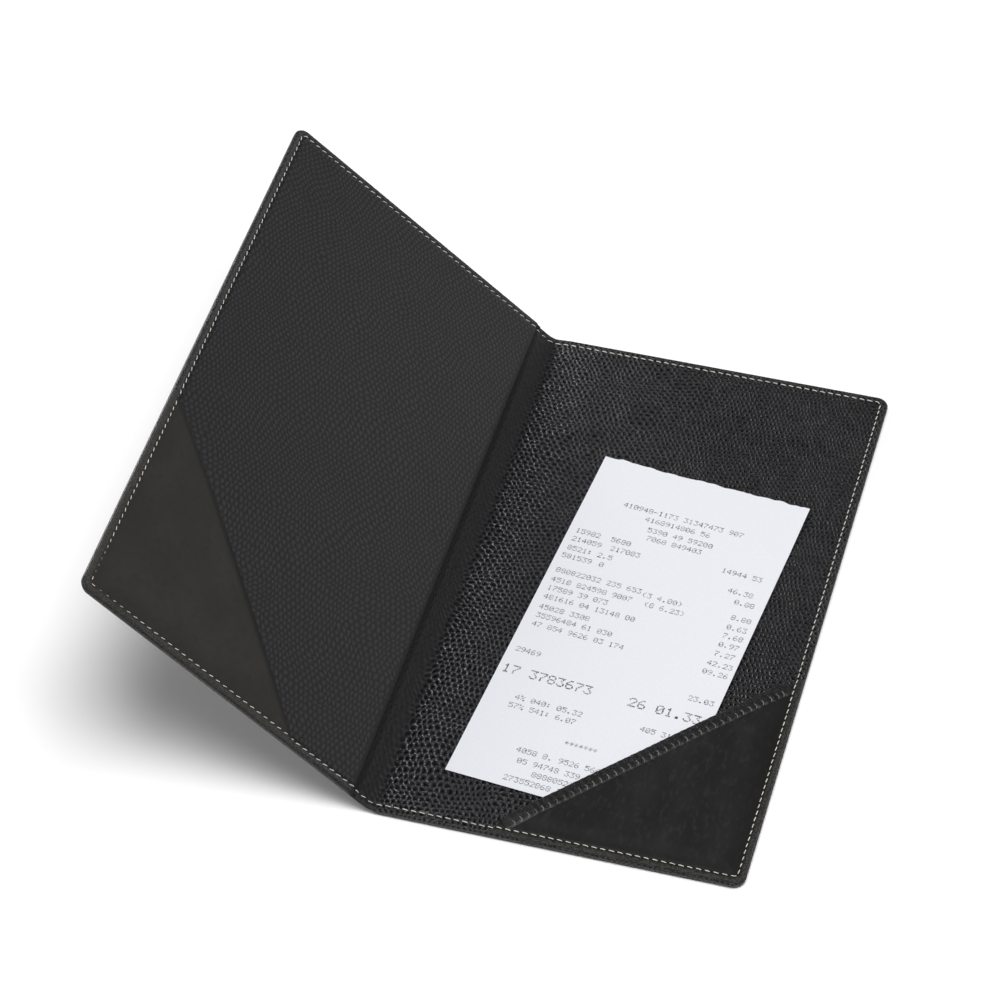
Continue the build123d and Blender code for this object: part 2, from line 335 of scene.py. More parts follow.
def layered(s, y, levels, path):
    # rings of points below a grid's border, one for each (inset, height) pair: where each lies, and where it
    # would lie if the sheet were rolled out flat, which carries the emboss on round the edge
    edgeS, edgeY = s.ravel()[path], y.ravel()[path]
    tangent = np.stack([np.gradient(edgeS), np.gradient(edgeY)], -1)
    tangent /= np.linalg.norm(tangent, axis=1)[:, None]
    inward = np.stack([-tangent[:, 1], tangent[:, 0]], -1) * (1 if edgeS[len(path) // 2] > 0 else -1)
    inward[[0, -1]] = [[0, 1], [0, -1]]  # at mid-spine, straight in from tail and head
    rings = []
    walked = 0.0
    last = None
    for inset, height in levels:
        ringS = edgeS + inset * inward[:, 0]
        ringY = edgeY + inset * inward[:, 1]
        ringH = height(ringS, ringY)
        here = np.array([inset, ringH.max()])
        walked += firstStep if last is None else np.linalg.norm(here - last)
        last = here
        rings.append((ringS, ringY, ringH, edgeS - walked * inward[:, 0], edgeY - walked * inward[:, 1]))
    return rings


def spineEdge(columns, ringStart, ringLength, levelCount):
    # the face at mid-spine: first row of the grid, down the ring ends and back
    top = list(range(columns))
    down = [ringStart + level * ringLength + ringLength - 1 for level in range(levelCount)]
    up = [ringStart + level * ringLength for level in reversed(range(levelCount))]
    return [top + down + up]


def sheetPiece(name, s, y, h, faces, material, label, pattern):
    # a piece worked out by s, y and h, which its material reads too, with one more attribute
    attributes = [("sheet", np.stack([s, y, h], -1)), (label, np.stack(pattern, -1))]
    return makePiece(name, place(s, y, h), faces, material, attributes)


def coverSheet(name, side, inset, heightOf, levels, material, shift=0.0):
    # one cover's sheet: an embossed face, rings round its edge and long faces that close it
    s, y = coverGrid(side, inset)
    height = heightOf(s, y)
    rows, columns = s.shape
    path = border(rows, columns)
    rings = layered(s, y, levels, path)
    allS, allY, allH, flatS, flatY = [np.concatenate([face.ravel()] + [ring[k] for ring in rings])
                                      for k, face in enumerate([s, y, height, s, y])]
    faces = gridFaces(rows, columns).tolist()
    previous = path
    for level in range(len(rings)):
        ring = s.size + level * len(path) + np.arange(len(path))
        faces += ringFaces(previous, ring)
        previous = ring
    faces += closing(columns, previous)
    faces += spineEdge(columns, s.size, len(path), len(rings))
    pattern = [*lattice(flatS + shift, flatY), edgeDistance(allS, allY)]
    return sheetPiece(name, allS, allY, allH, faces, material, "lattice", pattern)


def shaderMaths(operation, swapped=False):
    # a method that adds one maths node for a wire and what it's combined with
    def method(self, *others):
        values = (*others, self) if swapped else (self, *others)
        return self.shader.node("ShaderNodeMath", {"operation": operation}, dict(enumerate(values)))
    return method


class Wire:
    # a shader socket that can be added, multiplied and compared like a number
    def __init__(self, shader, socket):
        self.shader = shader
        self.socket = socket

    def step(self, low, high):
        # 0 below low, 1 above high and smooth between
        return self.shader.node("ShaderNodeMapRange", {"interpolation_type": "SMOOTHSTEP"},
                                {"Value": self, "From Min": low, "From Max": high})

    __add__ = __radd__ = shaderMaths("ADD")
    __sub__ = shaderMaths("SUBTRACT")
    __rsub__ = shaderMaths("SUBTRACT", swapped=True)
    __mul__ = __rmul__ = shaderMaths("MULTIPLY")
    __truediv__ = shaderMaths("DIVIDE")
    power = shaderMaths("POWER")
    sine = shaderMaths("SINE")
    fraction = shaderMaths("FRACT")
    least = shaderMaths("MINIMUM")


class Shader:
    # a new material or world, and short calls for its nodes
    def __init__(self, name, family=bpy.data.materials):
        self.owner = family.new(name)
        self.owner.use_nodes = True
        self.tree = self.owner.node_tree
        self.tree.nodes.clear()

    def node(self, kind, settings=None, values=None, output=0):
        # one node: its settings first, then a value or a wire for each of its sockets
        made = self.tree.nodes.new(kind)
        for key, value in (settings or {}).items():
            setattr(made, key, value)
        for key, value in (values or {}).items():
            if isinstance(value, Wire):
                self.tree.links.new(value.socket, made.inputs[key])
            elif value is not None:
                made.inputs[key].default_value = value
        return Wire(self, made.outputs[output] if made.outputs else None)

    def attribute(self, name):
        return self.node("ShaderNodeAttribute", {"attribute_name": name}, output="Vector")

    def parts(self, vector):
        first = self.node("ShaderNodeSeparateXYZ", None, {0: vector})
        return [Wire(self, output) for output in first.socket.node.outputs]

    def noise(self, vector, scale, detail=2.0, roughness=0.5, stretch=(1, 1, 1)):
        scaled = self.node("ShaderNodeVectorMath", {"operation": "MULTIPLY"}, {0: vector, 1: stretch})
        return self.node("ShaderNodeTexNoise", None,
                         {"Vector": scaled, "Scale": scale, "Detail": detail, "Roughness": roughness})

    def mix(self, factor, first, second):
        # the first colour where the factor is 0 and the second where it is 1
        first, second = [colour if isinstance(colour, Wire) else (*colour, 1) for colour in (first, second)]
        return self.node("ShaderNodeMix", {"data_type": "RGBA"}, {0: factor, 6: first, 7: second}, 2)

    def bump(self, height, strength, distance, normal=None):
        return self.node("ShaderNodeBump", None,
                         {"Height": height, "Strength": strength, "Distance": distance, "Normal": normal})

    def finish(self, colour, roughness, specular=0.5, normal=None):
        # the surface itself: varying values come as wires, uniform ones as plain numbers on the socket
        surface = self.node("ShaderNodeBsdfPrincipled", None, {
            "Base Color": colour, "Roughness": roughness, "Specular IOR Level": specular, "Normal": normal})
        self.node("ShaderNodeOutputMaterial", None, {"Surface": surface})
        return self.owner


embossed = {
    "pit": (0.0012, 0.0012, 0.0015),  # back cover: dark middles in a paler net, the grain's pattern painted as dark reflection on the scale tops and lighter sides, with thin painted highlights along the ridges
    "net": (0.0155, 0.0152, 0.0173),
    "ridgeHighlight": (0.15, 0.149, 0.161),
    "sparkHighlight": (0.42, 0.42, 0.45),  # painted highlights: small bright spots on the net beside the spine
    "scale": (0.0134, 0.013, 0.015),  # front cover: paler middles between darker gaps, the grain's pattern with painted highlight on the scale tops
    "gap": (0.0052, 0.005, 0.0059),
    "stripShade": (0.0022, 0.0022, 0.0027),  # painted shade on the creased strip over the spine, with paler flecks
    "stripShadePale": (0.0074, 0.0072, 0.0085),
    "rim": (0.034, 0.0335, 0.032),  # rubbed flecks along the turned edge
    "roughness": 0.25,
    "specular": 0.28,
    "relief": 0.00022,
    # where each part of the sheet fades in and out, by s
    "strip": ((-9.8, -8.9), (-1.2, 4.0)),
    "boardEdge": ((-11.8, -9.8), (-8.9, -6.4)),  # painted shade in the crease along the front board
    # painted shade, fainter, along the valley
    "valleyShade": ((-2.6, 0.2), (0.4, 2.6)),
    "band": ((0.4, 4.5), (8.0, 30.0)),  # where the back cover's painted highlights are brighter, beside the spine
    "sparkHighlightZone": ((0.4, 3.0), (9.0, 26.0)),
    "front": (-9.8, -9.0),
    "far": (20.0, 90.0),  # the back cover's painted highlights and paler net fade from here to there
}


def lizardLeather(name, values):
    # black embossed leatherette: each scale by its distance from its middle, and faint cloudiness, with
    # painted highlights, reflections and shade
    shader = Shader(name)
    spot = shader.attribute("sheet")
    along = shader.parts(spot)[0]
    p, q, margin = shader.parts(shader.attribute("lattice"))
    raised = 1 - along.step(*values["front"])
    lean = emboss["lean"] + raised * (emboss["frontLean"] - emboss["lean"])

    def fromMiddle(shift):
        # squared distance from the nearest middle of a scale in every other row
        wide = ((p / emboss["across"] + shift).fraction() - 0.5) * emboss["across"]
        long = ((q / emboss["along"] + shift).fraction() - 0.5) * (emboss["along"] * emboss["oval"])
        return wide * wide + long * long + lean * wide * long

    def within(zone):
        start, end = values[zone]
        return along.step(*start) * (1 - along.step(*end))

    near = fromMiddle(0.0).least(fromMiddle(0.5)).power(0.5)
    patchy = shader.noise(spot, 0.16, 3.0, 0.6)
    fine = shader.noise(spot, 1.6, 3.0, 0.7)
    pores = shader.noise(spot, 6.0)
    edge = near + (fine - 0.5) * 0.6
    strip = within("strip")
    # painted shade: dark in the crease along the front board, fainter in the valley
    creaseShade = within("boardEdge") * 0.72 + within("valleyShade") * 0.1
    glint = shader.noise(spot, 1.1).step(0.40, 0.60)
    far = along.step(*values["far"])
    # back cover: the grain's pattern, with the scale tops painted dark as reflection and the net painted
    # paler
    flatTone = shader.mix(edge.step(0.42, 0.86) * (1 - far * 0.3), values["pit"], values["net"])
    # painted highlights along the net's ridges: patchy, broken into glints, brighter beside the spine and
    # fading farther out
    light = (patchy.step(0.30, 0.65) * 0.45 + 0.25) * (1 - far * 0.2) + within("band") * 0.15
    ridgeHighlight = (edge - far * 0.06).step(0.98, 1.30) * light * (0.35 + glint * 0.9)
    flatTone = shader.mix(ridgeHighlight, flatTone, values["ridgeHighlight"])
    # painted highlights: small bright spots on the net beside the spine
    sparkHighlight = fine.step(0.54, 0.64) * edge.step(0.95, 1.25) * within("sparkHighlightZone")
    flatTone = shader.mix(sparkHighlight, flatTone, values["sparkHighlight"])
    # front cover: the grain's pattern with painted highlight on the scale tops
    raisedTone = shader.mix((edge + (patchy - 0.5) * 0.5).step(0.40, 1.00), values["scale"], values["gap"])
    base = shader.mix(raised, flatTone, raisedTone)
    # painted shade over the creased strip of the spine, mottled
    base = shader.mix(strip * 0.9, base, shader.mix(fine.step(0.42, 0.6), values["stripShade"], values["stripShadePale"]))
    # painted shade in the creases, in the same dark colour as the pits
    base = shader.mix(creaseShade, base, values["pit"])
    rim = (1 - margin.step(1.5, 2.6)) * (raised + (1 - raised) * edge.step(0.4, 0.95))
    rim = rim * (0.1 + fine.step(0.44, 0.58) * 0.9)
    base = shader.mix(rim * (1 - creaseShade), base, values["rim"])
    roughness = values["roughness"] + (fine + patchy - 1) * 0.16 + (strip + creaseShade) * 0.32
    dome = (1 - edge.step(0.25, 1.15)) * (1 - raised * 0.86) * (1 - strip * 0.3)
    normal = shader.bump(dome + fine * 0.25 * (1 - strip * 0.7), 1.0, values["relief"])
    normal = shader.bump(pores, 0.25, 0.00004, normal)
    return shader.finish(base, roughness, values["specular"], normal)


seamShade = (0.0035, 0.0032, 0.0025)  # the plain leather's darker parts
hemShade = (0.002, 0.002, 0.002)


def plainLeather(name, values):
    # plain leather: cloudy colour, a grain drawn out along one direction, a rubbed rim and a darker hem
    shader = Shader(name)
    spot = shader.attribute("sheet")
    margin, hem, _ = shader.parts(shader.attribute("margin"))
    cloud = shader.noise(spot, 0.06, 4.0, 0.6, values["stretch"])
    blotch = shader.noise(spot, 0.35, 3.0, 0.6, values["stretch"])
    fibre = shader.noise(spot, 1.1, 4.0, 0.65, values["stretch"])
    fine = shader.noise(spot, 1.5, 3.0, 0.75)
    base = shader.mix(cloud.step(0.3, 0.75), values["colour"], values["cloud"])
    base = shader.mix(blotch.step(0.48, 0.72) * values["blotches"], base, values["blotch"])
    base = shader.mix((1 - margin.step(3.0, 14.0)) * values["seamDark"], base, seamShade)
    base = shader.mix((1 - hem.step(0.2, values["hemWidth"])) * values["hemDark"], base, hemShade)
    outside = 1 - margin.step(1.6, 2.5)
    base = shader.mix(outside * (0.1 + fine.step(0.44, 0.58) * 0.9), base, values["rim"])
    rough = values["roughness"] + (fibre - 0.5) * 0.25
    normal = shader.bump(fibre * 0.6 + blotch * 0.4, values["grain"], 0.0001)
    normal = shader.bump(fine, 0.3 + outside * 0.5, 0.00006, normal)
    return shader.finish(base, rough, values["specular"], normal)


def threadFinish(name, colour, shade):
    # twisted thread: two plies wind round it in light and dark turns, and each stitch has its own tone
    shader = Shader(name)
    spot = shader.attribute("sheet")
    along, around, lot = shader.parts(spot)
    ply = (along * 9.0 + around * 2.0).sine() * 0.5 + 0.5
    fuzz = shader.noise(spot, 6.0, 2.0, 0.6)
    base = shader.mix(ply * 0.4 + fuzz * 0.3 + lot * 0.4, shade, colour)
    normal = shader.bump(ply, 0.5, 0.00008)
    return shader.finish(base, 0.85 - ply * 0.1, 0.25, normal)


def paperFinish(name, dull, clean):
    # thermal till paper: bluish white, faint fibre and a slight sheen
    shader = Shader(name)
    spot = shader.attribute("sheet")
    fibre = shader.noise(spot, 0.9, 3.0, 0.6)
    base = shader.mix(fibre.step(0.3, 0.8) * 0.6, dull, clean)
    normal = shader.bump(shader.noise(spot, 3.0), 0.12, 0.00004)
    return shader.finish(base, 0.62 + fibre * 0.1, 0.3, normal)


def inkFinish(name, dark, faint):
    # grey dot-matrix ink that the ribbon laid down unevenly
    shader = Shader(name)
    patch = shader.noise(shader.attribute("sheet"), 0.7, 3.0, 0.6)
    return shader.finish(shader.mix(patch.step(0.35, 0.62), dark, faint), 0.7, 0.2)


def boardFinish(name, fleckColour, pulp):
    # greyboard with flecks, inside the covers
    shader = Shader(name)
    spot = shader.node("ShaderNodeTexCoord", None, None, "Object")
    fleck = shader.noise(spot, 900.0, 3.0, 0.6)
    base = shader.mix(fleck.step(0.35, 0.7), fleckColour, pulp)
    return shader.finish(base, 0.9, normal=shader.bump(fleck, 0.3, 0.0001))


liningFinish = lizardLeather("liningLeatherette", embossed)
skinFinish = lizardLeather("outerLeatherette", {**embossed, "rim": (0.036, 0.0345, 0.031)})
smoothLeather = {"stretch": (1, 1, 1), "specular": 0.2, "hemWidth": 1.0, "hemDark": 0.0, "seamDark": 0.0}
backPocketFinish = plainLeather("backPocketLeather", {
    **smoothLeather, "colour": (0.0062, 0.0062, 0.0065), "cloud": (0.012, 0.012, 0.0124),
    "blotch": (0.02, 0.02, 0.0205), "blotches": 0.7, "rim": (0.045, 0.0435, 0.04),
    "stretch": (1.6, 0.7, 1), "roughness": 0.5, "grain": 0.8, "seamDark": 0.6})
frontPocketFinish = plainLeather("frontPocketLeather", {
    **smoothLeather, "colour": (0.0182, 0.0174, 0.0156), "cloud": (0.0228, 0.022, 0.0202),
    "blotch": (0.014, 0.0134, 0.0122), "blotches": 0.5, "rim": (0.044, 0.0425, 0.0385),
    "roughness": 0.6, "grain": 0.3, "hemWidth": 3.6, "hemDark": 0.95, "seamDark": 0.15})
bindingFinish = plainLeather("hemBinding", {
    **smoothLeather, "colour": (0.0018, 0.0018, 0.002), "cloud": (0.0065, 0.0065, 0.007),
    "blotch": (0.042, 0.0415, 0.044), "blotches": 0.9, "rim": (0.03, 0.03, 0.03),
    "stretch": (4, 4, 4), "roughness": 0.45, "grain": 1.0, "specular": 0.3})
creamThread = threadFinish("creamThread", (0.80, 0.77, 0.70), (0.48, 0.45, 0.39))
darkThread = threadFinish("greyThread", (0.23, 0.225, 0.21), (0.025, 0.0245, 0.023))
paper = paperFinish("slipPaper", (0.70, 0.71, 0.75), (0.75, 0.76, 0.795))
ink = inkFinish("slipInk", (0.06, 0.06, 0.075), (0.34, 0.34, 0.38))
greyboard = boardFinish("greyboard", (0.26, 0.24, 0.20), (0.38, 0.35, 0.31))
print("finishes made")


bodies = {1: "back_cover", -1: "front_cover"}
flatter = {"spine": 0.55, "front": 0.4, "seam": 0.7}
edging = {
    "lip": 0.35,  # how far the lining's edge stays in from the skin's
    "turned": 1.0,  # radius of the skin's lower edge
    "furrow": 0.25,  # how deep the seam pulls the outside in
    "outerShift": 400.0,  # the outside shows another part of the pattern
    # inset and height of the rings that carry the skin over its edge, and the inset of its inner wall
    "rings": [(-0.05, 1.35), (0.0, 1.7), (0.12, 1.98), (0.32, 2.15), (0.6, 2.0), (0.9, 1.6)],
    "wall": 0.9,
}


def bendWith(piece):
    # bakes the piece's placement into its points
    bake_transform(piece)


def liningFace(s, y):
    # the embossed face, which is flatter over the spine, on the front cover, along the seam and at the edge
    front = smooth(8, 9.5, -s)
    stretched = 1 - flatter["spine"] * smooth(-0.5, 1.0, -s) * (1 - front) - flatter["front"] * front
    distance = edgeDistance(s, y)
    held = smooth(0.2, 1.0, distance) * (1 - flatter["seam"] * hump(distance, sheet["stitchInset"], 0.5))
    return liningHeight(s, y) + scaleRelief(s, y) * stretched * held


def skinFace(s, y):
    # the outside face, embossed from below, with a rounded edge
    distance = edgeDistance(s, y)
    furrow = edging["furrow"] * hump(distance, sheet["stitchInset"], 0.5)
    relief = scaleRelief(s + edging["outerShift"], y) * smooth(0.2, 1.0, distance)
    return roundedOff(distance, edging["turned"]) + furrow - relief


def halfOf(side, word):
    return word + ("Back" if side > 0 else "Front")


# the rings below each face's edge; the skin's are lower where no board lies between skin and lining
underside = [(0.02, lambda s, y: liningHeight(s, y) - sheet["liningThick"])]
wall = [(inset, lambda s, y, height=height: height * (1 - sunk(s) / liningTop))
        for inset, height in edging["rings"]] + [(edging["wall"], lambda s, y: skinThick + 0 * s)]
for side in (1, -1):
    liningPiece = coverSheet(halfOf(side, "lining"), side, edging["lip"], liningFace, underside, liningFinish)
    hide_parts("back_lining" if side > 0 else "front_lining", "spine_lining")
    bendWith(liningPiece)
    skinPiece = coverSheet(halfOf(side, "outerSkin"), side, 0.0, skinFace, wall, skinFinish,
                           edging["outerShift"])
    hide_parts("back_outer_skin" if side > 0 else "front_outer_skin", "spine_outer_skin")
    bendWith(skinPiece)
for node in ("back_board", "front_board"):
    board = frame["nodes"][node]
    board.data.materials.clear()
    board.data.materials.append(greyboard)
print("lining and skin made")


pocket = {
    "thickness": 0.7,
    "inset": 0.3,  # from the cover's outline
    "sewn": 2.7,  # the leather lies flat up to this distance from the outline
    "soften": 0.45,  # radius of its rim
    "furrow": 0.22,
    # the triangle's legs along tail and fore edge, how high the slack leather stands and how far in, how far
    # the hem bows out, and how far the seam lies below the top
    1: {"foot": 91.0, "rise": 99.0, "lift": 0.9, "full": 12.0, "bow": 0.0, "sunk": 0.0,
        "node": "back_corner_pocket"},
    -1: {"foot": 95.0, "rise": 100.0, "lift": 0.45, "full": 26.0, "bow": 1.2, "sunk": 0.12,
         "node": "front_corner_pocket"},
}


def hemLine(side):
    # length of the hem, and how far one millimetre along it goes outwards and headwards
    foot, rise = pocket[side]["foot"], pocket[side]["rise"]
    run = math.hypot(foot, rise)
    return run, foot / run, rise / run


def hemSide(side, s, y):
    # distance beyond the hem line, into the pocket
    outward, headward = hemLine(side)[1:]
    return (np.abs(s) - (foreReach - pocket[side]["foot"])) * headward - (y + halfLength) * outward


def fromHem(along, across):
    # a place on the back cover by its distance along the hem and into the pocket
    outward, headward = hemLine(1)[1:]
    s = foreReach - pocket[1]["foot"] + along * outward + across * headward
    return s, along * headward - across * outward - halfLength


def pocketTop(side, s, y):
    # top of the pocket leather: sewn flat at its margins, slack towards the hem, and rounded at its rim
    distance = edgeDistance(s, y)
    slack = smooth(pocket["sewn"], pocket[side]["full"], distance)
    beyond = np.maximum(hemSide(side, s, y), 0)
    lift = pocket[side]["lift"] * slack * (0.6 + 0.4 * np.exp(-beyond / 30))
    lift = lift + 0.1 * drift(s, y, 21, 31 + side) * slack
    furrow = pocket["furrow"] * hump(distance, sheet["stitchInset"], 0.7)
    rim = roundedOff(distance - pocket["inset"], pocket["soften"])
    return liningTop + pocket["thickness"] + lift - furrow - rim


def pocketPath(side, share):
    # a point on the hem at a share of its length, and the outline point straight across the pocket from it
    foot, rise = pocket[side]["foot"], pocket[side]["rise"]
    run2 = foot ** 2 + rise ** 2
    reach, low = foreReach - pocket["inset"], pocket["inset"] - halfLength
    hemX = foreReach - foot + share * foot
    hemY = -halfLength + share * rise
    edgeX = np.minimum(foreReach - foot + share * run2 / foot, reach)
    edgeY = np.maximum(rise - halfLength - (1 - share) * run2 / rise, low)
    radius = sheet["cornerRadius"] - pocket["inset"]
    cx, cy = reach - radius, low + radius
    dx, dy = edgeX - cx, edgeY - cy
    far = np.maximum(np.hypot(dx, dy), 1e-9)
    inCorner = (dx > 0) & (dy < 0)
    edgeX = np.where(inCorner, cx + dx / far * radius, edgeX)
    edgeY = np.where(inCorner, cy + dy / far * radius, edgeY)
    return hemX, hemY, edgeX, edgeY


def makePocket(side, material):
    # ruled between the hem and the outline, with two faces and a rim between them
    share = np.linspace(0.006, 0.994, 220)
    atHem, atRim = [0, 0.004, 0.012, 0.03], [0.96, 0.975, 0.985, 0.993, 1]
    across = np.concatenate([atHem, np.linspace(0.06, 0.93, 52), atRim])
    hemX, hemY, edgeX, edgeY = pocketPath(side, share)
    bow = pocket[side]["bow"] * 4 * share * (1 - share)
    outward, headward = hemLine(side)[1:]
    hemX = hemX - bow * headward
    hemY = hemY + bow * outward
    s = hemX[:, None] + (edgeX - hemX)[:, None] * across
    y = hemY[:, None] + (edgeY - hemY)[:, None] * across
    rounded = 0.3 * (1 - smooth(0, 0.6, np.hypot(s - hemX[:, None], y - hemY[:, None])))
    top = pocketTop(side, s, y) - rounded
    bottom = np.maximum(top - pocket["thickness"] + 2 * rounded, liningHeight(s, y) + 0.02)
    allS = np.tile(side * s.ravel(), 2)
    allY = np.tile(y.ravel(), 2)
    allH = np.concatenate([top.ravel(), bottom.ravel()])
    beyond = hemSide(side, allS, allY) + pocket[side]["bow"]
    margin = [edgeDistance(allS, allY), beyond, 0 * allS]
    faces = plateFaces(*s.shape)
    piece = sheetPiece(halfOf(side, "pocket"), allS, allY, allH, faces, material, "margin", margin)
    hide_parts(pocket[side]["node"])
    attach(piece, bodies[side])
    return piece


backPocket = makePocket(1, backPocketFinish)
frontPocket = makePocket(-1, frontPocketFinish)


binding = {
    "width": 4.0,  # into the pocket from the hem line
    "beyond": 1.9,  # and out of it
    "thickness": 0.32,
    "ends": 5.2,  # from the cover's outline
    "pitch": 3.0,  # of the stitches, which draw it in
    "pinch": 0.14,
    "uneven": 0.06,
}


def makeBinding():
    # a folded strip's profile carried along the hem, drawn in where a stitch passes over it
    run, outward, headward = hemLine(1)
    along = np.linspace(binding["ends"] / headward, run - binding["ends"] / outward, 260)
    w, b, t, leather = binding["width"], binding["beyond"], binding["thickness"], pocket["thickness"]
    across, height = np.array([
        (w, 0.02), (w - 0.25, t * 0.8), (w * 0.6, t), (0.5, t * 0.7), (0.6 - b, t), (0.25 - b, t * 0.5),
        (-b, -leather / 2), (0.25 - b, -leather - 0.05), (0.6 - b, -leather - t * 0.5),
        (w * 0.5, -leather - t), (w, -leather - 0.05), (w - 0.05, -leather + 0.02), (0.0, -leather + 0.05),
        (0.0, -0.05), (w - 0.05, -0.02)]).T
    s, y = fromHem(along[:, None], across)
    pull = binding["pinch"] * (0.5 + 0.5 * np.cos(2 * math.pi * along / binding["pitch"]))
    pull = pull[:, None] + binding["uneven"] * drift(s, y, 1.3, 81)
    h = pocketTop(1, s, y) + height - pull * (height > 0)
    rows, columns = s.shape
    ends = [list(range(columns)), list(range((rows - 1) * columns, rows * columns))]
    faces = tubeFaces(rows, columns).tolist() + ends
    s, y, h = s.ravel(), y.ravel(), h.ravel()
    margin = [edgeDistance(s, y), 9.0 + 0 * s, 0 * s]
    piece = sheetPiece("hemBinding", s, y, h, faces, bindingFinish, "margin", margin)
    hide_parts("back_pocket_binding")
    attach(piece, "back_cover")


makeBinding()
print("pockets made")


stitching = {
    "pitch": 3.05,
    "length": {1: 2.45, -1: 2.35},  # on the back and on the front cover
    "radius": {1: 0.185, -1: 0.145},
    "slant": {1: -0.14, -1: -0.28},
    "sides": 6,
    "rise": 0.13,  # of the middle over the leather
    "dip": 0.34,  # of the ends below it
}


def threadTubes(name, centres, radius, material, lots):
    # a round section along many short paths that taper at both ends; centres is paths by points by 3, and
    # lots gives the tone of each path, from 0 to 1
    paths, count, _ = centres.shape
    tangent = np.gradient(centres, axis=1)
    tangent /= np.linalg.norm(tangent, axis=2)[..., None]
    sideways = np.cross(tangent, np.array([0, 0, 1.0]))
    sideways /= np.linalg.norm(sideways, axis=2)[..., None]
    over = np.cross(sideways, tangent)
    taper = np.sqrt(np.maximum(1 - np.abs(np.linspace(-1, 1, count)) ** 5, 0.02)) * radius
    sides = stitching["sides"]
    angle = np.arange(sides) * 2 * math.pi / sides
    ring = np.cos(angle)[:, None] * sideways[:, :, None] + np.sin(angle)[:, None] * over[:, :, None]
    points = centres[:, :, None] + ring * taper[:, None, None]
    quads = tubeFaces(count, sides)
    first, last = np.arange(sides)[::-1], np.arange(sides) + (count - 1) * sides
    faces = []
    for offset in range(0, paths * count * sides, count * sides):
        faces += (quads + offset).tolist()
        faces += [(first + offset).tolist(), (last + offset).tolist()]
    along = np.linalg.norm(centres - centres[:, :1], axis=2)
    detail = np.stack([np.broadcast_to(values, points.shape[:3])
                       for values in (along[:, :, None], angle, lots[:, None, None])], -1)
    return makePiece(name, points.reshape(-1, 3), faces, material, [("sheet", detail.reshape(-1, 3))])


def seamPath(walked):
    # one cover's stitch line: along the tail from mid-spine, round the fore edge and back along the head
    inset = sheet["stitchInset"]
    radius = max(sheet["cornerRadius"] - inset, 0.3)
    low = halfLength - inset
    tail = foreReach - inset - radius
    bend = radius * math.pi / 2
    fore = 2 * (low - radius)
    total = 2 * tail + 2 * bend + fore
    w = np.minimum(walked, total - walked)
    turn = np.clip((w - tail) / radius, 0, math.pi / 2)
    x = np.minimum(w, tail) + radius * np.sin(turn)
    y = -low + radius * (1 - np.cos(turn)) + np.maximum(w - tail - bend, 0)
    return x, np.where(walked > total / 2, -y, y), total


def seamTop(side, s, y):
    # what the stitches lie on: the lining, or the pocket where it covers the seam
    lining = liningHeight(side * s, y)
    above = pocketTop(side, s, y) - pocket[side]["sunk"] - lining
    return lining + above * smooth(-0.2, 0.6, hemSide(side, s, y))


def makeSeam(side, inside):
    # one cover's stitches: slanting arches that dip into the leather at both ends
    total = seamPath(0)[2]
    count = int(round(total / stitching["pitch"]))
    marks = np.arange(count)
    middles = (marks + 0.5) * total / count
    length = stitching["length"][side] * (1 + 0.08 * (scatter(marks, 0, 41 + side) - 0.5))
    share = np.linspace(-1, 1, 7)
    s, y, _ = seamPath(middles[:, None] + share * length[:, None] / 2)
    wander = 0.10 * (scatter(marks, 0, 42 + side) - 0.5)
    slant = stitching["slant"][side] * share + wander[:, None]
    ds = np.gradient(s, axis=1)
    dy = np.gradient(y, axis=1)
    norm = np.hypot(ds, dy)
    s = s - slant * dy / norm
    y = y + slant * ds / norm
    arch = stitching["rise"] - (stitching["rise"] + stitching["dip"]) * share ** 4
    if inside:
        h = seamTop(side, s, y) + arch
    else:
        h = edging["furrow"] - arch
        h = np.maximum(h, stitching["radius"][side] + 0.02) if side > 0 else h
    centres = place(side * s, y, h)
    lots = scatter(marks, 0, 43 + side)
    cover = "back" if side > 0 else "front"
    layer = "inner" if inside else "outer"
    piece = threadTubes(halfOf(side, layer + "Seam"), centres, stitching["radius"][side], creamThread, lots)
    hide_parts(cover + "_" + layer + "_thread", "spine_" + layer + "_thread")
    bendWith(piece)


for side in (1, -1):
    makeSeam(side, True)
    makeSeam(side, False)


overcast = {
    "pitch": 3.0,
    "ends": 6.5,  # from the cover's outline
    "start": 1.55,  # where the thread comes up, and where it goes down again
    "reach": 3.7,
    "foot": 0.5,  # how far its last turn leans along the hem
    "radius": 0.21,
    "uneven": 0.35,  # in place, and in slant
    "slant": 0.9,
}


def makeOvercast():
    # slanted stitches in the bound hem: up from below, over the binding and down again
    run, outward, headward = hemLine(1)
    first, last = overcast["ends"] / headward, run - overcast["ends"] / outward
    count = int(round((last - first) / overcast["pitch"]))
    marks = np.arange(count)
    base = first + (marks + 0.5) * (last - first) / count
    base = base + overcast["uneven"] * (scatter(marks, 0, 51) - 0.5)
    start, reach, drop = overcast["start"], overcast["reach"], pocket["thickness"] + binding["thickness"]
    # the thread's path: how far from the hem line, and how high over the binding
    across, lifted = np.array([
        (reach + 0.05, -0.25), (reach, 0.05), (reach - 0.15, 0.14), (reach - 0.7, 0.18), (start + 0.8, 0.16),
        (start + 0.25, 0.04), (start, -0.15), (start - 0.1, -0.5), (start - 0.1, -drop),
        (start + 0.1, -drop - 0.12), (start + 0.4, -drop - 0.15)]).T
    lean = -overcast["foot"] * smooth(reach - 0.7, reach, across)
    slant = overcast["slant"] * (scatter(marks, 0, 53) - 0.5)
    s, y = fromHem(base[:, None] + lean + slant[:, None] * across / reach, across)
    h = pocketTop(1, s, y) + binding["thickness"] + lifted
    lots = scatter(marks, 0, 52)
    piece = threadTubes("hemStitches", place(s, y, h), overcast["radius"], darkThread, lots)
    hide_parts("back_pocket_overcast_thread")
    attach(piece, "back_cover")


